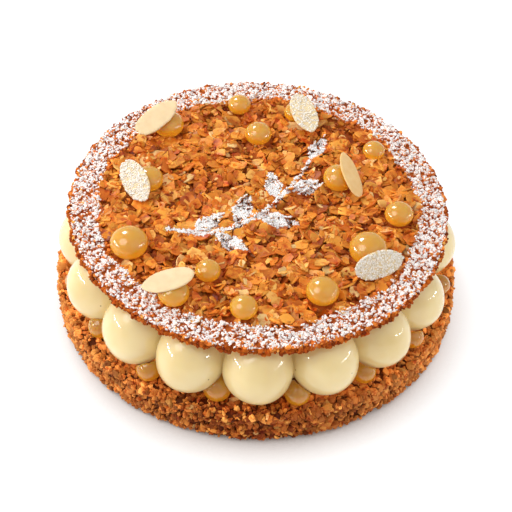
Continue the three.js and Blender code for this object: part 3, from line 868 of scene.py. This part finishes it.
def flakeShape(rng, length, width, kind):
    # one almond flake: a bent oval, often snapped across, in rings from its middle to its edge
    around = kind["around"]
    turns = (np.arange(around) + rng.uniform(-0.3, 0.3, around)) * 2 * math.pi / around
    power = rng.uniform(2.0, 2.8)  # 2 is an oval, more is squarer
    edge = np.abs(np.cos(turns) * 2 / length) ** power + np.abs(np.sin(turns) * 2 / width) ** power
    edge = edge ** (-1 / power)
    for _ in range(rng.integers(2, 6)):
        toward = np.cos(turns - rng.uniform(0, 2 * math.pi))
        snap = rng.uniform(0.3, 0.8) * length / 2
        edge = np.where(toward > 0.05, np.minimum(edge, snap / np.maximum(toward, 0.05)), edge)
    edge *= rng.uniform(0.93, 1.07, around)
    bend, cup = rng.normal(0, 0.02), rng.normal(0, 0.035)
    thick = rng.uniform(0.5, 0.85)
    sheets = []
    for up in (1, -1):
        sheets.append(np.array([[0, 0, up * thick / 2]]))
        for share in (*kind["rings"], 1.03):
            x, y = edge * share * np.cos(turns), edge * share * np.sin(turns)
            half = thick / 2 if share <= 1 else thick * 0.12
            sheets.append(np.stack([x, y, bend * x ** 2 + cup * y ** 2 + up * half], -1))
    return np.concatenate(sheets)


def layFlakes(rng, kind, heights):
    # drops flakes one after another on a height map of the lid, so that they lie on each other
    cell, bed = lid["cell"], lid["bed"]
    middle = len(heights) // 2
    points, tints = [], []
    for tone in pickTints(rng, kind["count"], lid[kind["tones"]]):
        length = rng.uniform(*kind["length"]) * rng.choice((0.75, 0.9, 1))
        width = length * rng.uniform(0.5, 0.8)
        reach, turn = (bandInner + 0.8) * math.sqrt(rng.random()), rng.uniform(0, 2 * math.pi)
        x, y = reach * math.cos(turn), reach * math.sin(turn)
        if not awayFromDrops(x, y, 0.74, length * 0.28):
            continue
        heading = rng.uniform(0, 2 * math.pi)
        # it leans as the heap under it does, and a little astray
        spread = max(2, int(length * 0.36 / cell))
        col, row = int(round(x / cell)) + middle, int(round(y / cell)) + middle
        patch = heights[row - spread:row + spread + 1, col - spread:col + spread + 1]
        span = np.arange(-spread, spread + 1) * cell
        slopes = np.array([patch.mean(0) @ span, patch.mean(1) @ span]) / (span @ span)
        slopes = np.clip(slopes * 0.8 + rng.normal(0, lid["tilts"], 2), -0.95, 0.95)
        up = Vector((-slopes[0], -slopes[1], 1)).normalized()
        lean = Vector((0, 0, 1)).rotation_difference(up).to_matrix()
        spin = np.array(Matrix.Rotation(heading, 3, "Z"))
        shape = flakeShape(rng, length, width, kind)
        placed = shape @ (np.array(lean) @ spin).T
        level = min(np.percentile(patch, 60) + 0.2, bed + 3.2)
        level -= max(0, level + placed[:, 2].max() - lid["crown"])
        placed += (x, y, level)
        points.append(placed)
        # the rim is painted paler, as if its cut faces catch light, one end is more toasted than the other,
        # and the low ones are painted darker, as less light reaches them
        out = np.hypot(shape[:, 0] / length, shape[:, 1] / width) * 2
        toast = 0.92 + 0.2 * np.clip(out - 0.6, 0, 0.5) + rng.normal(0, 0.16) * shape[:, 0] / length * 2
        toast *= 0.74 + 0.3 * np.clip((placed[:, 2] - bed) / 3, 0, 1)
        tints.append(tone ** (1.6 - 0.6 * np.clip(toast, 0.5, 1.3))[:, None] * toast[:, None])
        # the height map rises where the flake lies
        grid = np.arange(-spread - 2, spread + 3) * cell
        gx, gy = np.meshgrid(grid, grid)
        along = (gx * math.cos(heading) + gy * math.sin(heading)) * 2 / length
        across = (gy * math.cos(heading) - gx * math.sin(heading)) * 2 / width
        inFlake = along ** 2 + across ** 2 < 0.85
        upper = level + slopes[0] * gx + slopes[1] * gy + 0.35
        window = heights[row - spread - 2:row + spread + 3, col - spread - 2:col + spread + 3]
        window[inFlake] = np.maximum(window[inFlake], upper[inFlake])
    pattern = sheetFaces(len(kind["rings"]) + 1, kind["around"])
    size = len(points[0])
    faces = (pattern[None] + np.arange(len(points))[:, None, None] * size).reshape(-1, 3)
    return np.concatenate(points), faces, np.concatenate(tints)


def layCrumbs(rng, heights):
    # caramel bits between the flakes
    count, middle = lid["crumbs"], len(heights) // 2
    shapes, faces = crumbShapes(rng, 24, 0.35)
    reach = bandInner * np.sqrt(rng.random(count))
    turn = rng.uniform(0, 2 * math.pi, count)
    x, y = reach * np.cos(turn), reach * np.sin(turn)
    level = heights[(y / lid["cell"]).astype(int) + middle, (x / lid["cell"]).astype(int) + middle]
    clear = awayFromDrops(x, y, 0.8) & (level < 0.6)
    size = rng.uniform(*lid["crumbSize"], count)
    places = np.stack([x, y, level + size * 0.2], -1)[clear]
    scales = (size[:, None] * rng.uniform(0.5, 1.2, (count, 3)))[clear]
    total = int(clear.sum())
    return joinCopies(shapes, faces, rng.integers(0, len(shapes), total), places, randomTurns(rng, total),
                      scales, pickTints(rng, total, lid["crumbTones"]))


def layBand(rng):
    # the crumbly band round the edge, and the lid's side
    count, radius = lid["bandCrumbs"], lid["radius"]
    shapes, faces = crumbShapes(rng, 32, 0.3)
    side = rng.random(count) < 0.3
    turn = rng.uniform(0, 2 * math.pi, count)
    ragged = 0.5 * np.sin(turn * 37 + 1) + 0.4 * np.sin(turn * 61)
    flat = np.sqrt(rng.uniform((bandInner - 1) ** 2, (radius - 0.7) ** 2, count))
    reach = np.where(side, radius - 0.9, flat) + np.where(side, ragged, 0) + rng.normal(0, 0.25, count)
    crown = -0.25 - 0.05 * np.clip(reach - (radius - 3), 0, 3) ** 2  # it falls off toward the edge
    upright = rng.uniform(-lid["thickness"] + 0.9, -0.6, count)
    level = np.where(side, upright, crown + rng.normal(0, 0.4, count))
    size = rng.uniform(*lid["bandCrumbSize"], count)
    places = np.stack([reach * np.cos(turn), reach * np.sin(turn), level], -1)
    clear = awayFromDrops(places[:, 0], places[:, 1], 0.8)
    scales = size[:, None] * rng.uniform(0.6, 1.4, (count, 3))
    total = int(clear.sum())
    sideTints, bandTints = (pickTints(rng, count, lid[tones]) for tones in ("sideTones", "bandTones"))
    tints = np.where(side[:, None], sideTints, bandTints)
    return joinCopies(shapes, faces, rng.integers(0, len(shapes), total), places[clear],
                      randomTurns(rng, total), scales[clear], tints[clear])


# where the icing sugar lies

sprig = {
    # a leafy sprig stencilled on the middle of the lid: its stem bows from one end to the other
    "stem": ((-43, -20), (-2, -32), (25, 33)), "stemWidth": 3.2,  # mm
    # each leaf: where on the stem, to which side, length; the width is a share of the length
    "leaves": [(0.14, 1, 20), (0.27, -1, 20), (0.43, 1, 23), (0.55, -1, 22), (0.72, 1, 20),
               (0.82, -1, 18)],
    "leafAngle": 46, "leafWidth": 0.42, "tipLeaf": 20,
    "room": ((-54, -48), (46, 58)),  # mm, corners of the patch of lid that it lies in
}
sugar = {
    "outer": 0.5, "fade": 1.2,  # mm of the lid's edge that stay bare, and over which it thins
    "bandClumps": 11000, "sprigClumps": 5200, "clumpSize": (0.34, 0.72),
    "bandLowest": -1.0,  # mm under the top plane; none falls down the cracks
    "leastUp": 0.12,  # how far a face looks up to hold it
    "lace": -0.16,  # the sprig stays bare where a noise is lower than this
}


def stemPoint(t):
    a, b, c = (np.array(p, float) for p in sprig["stem"])
    return a * (1 - t) ** 2 + b * 2 * t * (1 - t) + c * t ** 2, (b - a) * (1 - t) + (c - b) * t


def inSprig(x, y):
    # how deep inside the stencil's openings a place lies, in mm; it is below nought outside them
    spot = np.stack([x, y], -1)
    deep = np.full(len(x), -9.0)
    for t in np.linspace(0, 1, 90):
        at, _ = stemPoint(t)
        stemHalf = sprig["stemWidth"] / 2 * (0.65 + 0.35 * (1 - t))
        deep = np.maximum(deep, stemHalf - np.hypot(*(spot - at).T))
    for t, side, length in [*sprig["leaves"], (1.0, 0, sprig["tipLeaf"])]:
        at, run = stemPoint(t)
        way = math.atan2(run[1], run[0]) + side * math.radians(sprig["leafAngle"])
        along = ((spot - at) @ (math.cos(way), math.sin(way)) - 1.5) / length
        across = np.abs((spot - at) @ (-math.sin(way), math.cos(way)))
        inside = (along > 0) & (along < 1)
        profile = np.sin(math.pi * np.clip(along, 0, 1) ** 0.8) * length * sprig["leafWidth"] / 2
        deep = np.where(inside, np.maximum(deep, profile - across), deep)
    return deep


def sugarShare(points):
    # how much sugar fell on places of the lid: the band and the sprig
    x, y = points[:, 0], points[:, 1]
    reach, turn = np.hypot(x, y), np.arctan2(y, x)
    wander = 1.1 * np.sin(turn * 9 + 1) + 0.8 * np.sin(turn * 23) + 0.5 * np.sin(turn * 47 + 2)
    band = np.clip((reach - (bandInner + wander)) / sugar["fade"] + 0.5, 0, 1)
    band *= np.clip((lid["radius"] - sugar["outer"] - reach) / sugar["fade"], 0, 1)
    return np.maximum(band, np.clip(inSprig(x, y) / 0.8 + 0.5, 0, 1))


def makeLid():
    rng = np.random.default_rng(21)
    edge, under = lid["radius"] - 1.6, -lid["thickness"] + 0.4
    inner = edge - lid["band"]
    rings = [(edge - 3, under), (edge - 0.4, under + 0.5), (edge, under + 1.6), (edge - 0.3, -1.4)]
    rings += [(edge - step, -1.0) for step in (1.5, 5, 9, 12)] + [(inner, lid["bed"])]
    rings += [(share * inner, lid["bed"]) for share in (0.8, 0.6, 0.4, 0.2)]
    raised = 10  # mm, as ringedSurface keeps flat what lies at height nought
    points, faces = ringedSurface([(r, h + raised) for r, h in rings], 220, rng, 0.15)
    points[:, 2] -= raised
    plate = np.tile(linear(lid["plate"]), (len(points), 1))
    meshPiece("lidPlate", onTart(points), faces, bandFinish, ["almond_lid"], plate)
    half = int(lid["radius"] / lid["cell"]) + 8
    heights = np.full((2 * half + 1, 2 * half + 1), float(lid["bed"]))
    layers = [
        ("lidScraps", layFlakes(rng, lid["scraps"], heights), flakeFinish),
        ("lidFlakes", layFlakes(rng, lid["flakes"], heights), flakeFinish),
        ("lidBits", layFlakes(rng, lid["bits"], heights), flakeFinish),
        ("lidCrumbs", layCrumbs(rng, heights), flakeFinish),
        ("lidBandCrumbs", layBand(rng), bandFinish),
    ]
    relief, reliefFaces, count = [], [], 0
    for name, (points, faces, tints), finish in layers:
        share = sugarShare(points)
        meshPiece(name, onTart(points), faces, finish, ["almond_lid"], tints, 38, share)
        relief.append(points)
        reliefFaces.append(faces + count)
        count += len(points)
        print(name, len(faces), "faces")
    return BVHTree.FromPolygons(np.concatenate(relief).tolist(), np.concatenate(reliefFaces).tolist())


lidRelief = makeLid()
print("lid")


def makeSugar():
    # clumps of sugar where the relief catches it
    rng = np.random.default_rng(33)
    turn = rng.uniform(0, 2 * math.pi, sugar["bandClumps"])
    reach = np.sqrt(rng.uniform((bandInner - 2) ** 2, lid["radius"] ** 2, sugar["bandClumps"]))
    ring = np.stack([reach * np.cos(turn), reach * np.sin(turn)], -1)
    patch = rng.uniform(*sprig["room"], (sugar["sprigClumps"] * 12, 2))
    ring = ring[rng.random(len(ring)) < sugarShare(ring)]
    inside = rng.random(len(patch)) < np.clip(inSprig(*patch.T) / 0.5, 0, 1)
    places = [(x, y, sugar["bandLowest"]) for x, y in ring]
    # the sugar on the sprig lies as a lace too
    places += [(x, y, lid["bed"]) for x, y in patch[inside][:sugar["sprigClumps"]]
               if noise.noise((x * 1.1, y * 1.1, 3.0)) >= sugar["lace"]]
    kept, turns = [], []
    for x, y, lowest in places:
        hit, normal, _, _ = lidRelief.ray_cast(Vector((x, y, 20)), Vector((0, 0, -1)))
        if hit is None or normal.z < sugar["leastUp"] or hit.z < lowest or not awayFromDrops(x, y, 0.97):
            continue
        kept.append((x, y, hit.z))
        turns.append(np.array(Vector((0, 0, 1)).rotation_difference(normal).to_matrix()))
    count = len(kept)
    shapes, faces = grainShapes(rng, 24, 0.3)
    size = rng.uniform(*sugar["clumpSize"], count)
    scales = size[:, None] * rng.uniform(0.7, 1.3, (count, 3)) * (1.25, 1.25, 0.5)
    choice = rng.integers(0, len(shapes), count)
    points, faces, _ = joinCopies(shapes, faces, choice, np.array(kept), np.array(turns), scales,
                                  np.ones((count, 3)))
    meshPiece("lidSugar", onTart(points), faces, sugarFinish, ["almond_lid"])
    print("sugar clumps:", count)


makeSugar()


# pear gel drops on the lid

drop = {
    "roundness": 0.78,  # how tall its upper half is, in its own radii
    "sink": 0.5,  # height of its widest place over the lid, in its own radii
    "buried": 0.5,  # mm that its foot reaches into the flakes
    "room": 0.3,  # mm that the gel gives way round a slice
    "around": 44, "rows": 22,
}


def pressUnderSlices(points):
    # the soft gel gives way under a slice that lies on it
    under = -almond["thickness"] / 2 + 0.1
    for seat in sliceSeats.values():
        local = (points - seat["middle"]) @ np.stack([seat["long"], seat["wide"], seat["normal"]]).T
        s = local[:, 0] / (seat["length"] / 2 + drop["room"])
        inside = (np.abs(s) < 1) & (np.abs(local[:, 1]) < sliceHalfWidth(s, seat) + drop["room"])
        sunk = np.where(inside & (local[:, 2] > under), local[:, 2] - under, 0)
        points = points - np.outer(sunk, seat["normal"])
    return points


def makeDrops():
    faces = ringedFaces(drop["rows"], drop["around"])
    for i, seat in enumerate(drops):
        tall, centre = drop["roundness"] * seat["radius"], drop["sink"] * seat["radius"]
        start = math.asin(-(centre + drop["buried"]) / tall)
        angles = start + (np.arange(drop["rows"]) / drop["rows"]) * (math.pi / 2 - start)
        rings = [(seat["radius"] * math.cos(a), centre + tall * math.sin(a)) for a in angles]
        points = ringedPoints(rings[0][1], rings, centre + tall, drop["around"])
        points = pressUnderSlices(onTart(points + (seat["x"], seat["y"], 0)))
        node = f"pear_drop_{i + 1:02d}"
        meshPiece(f"pearDrop{i + 1:02d}", points, faces, dropFinish, [node])


makeDrops()
print("drops")
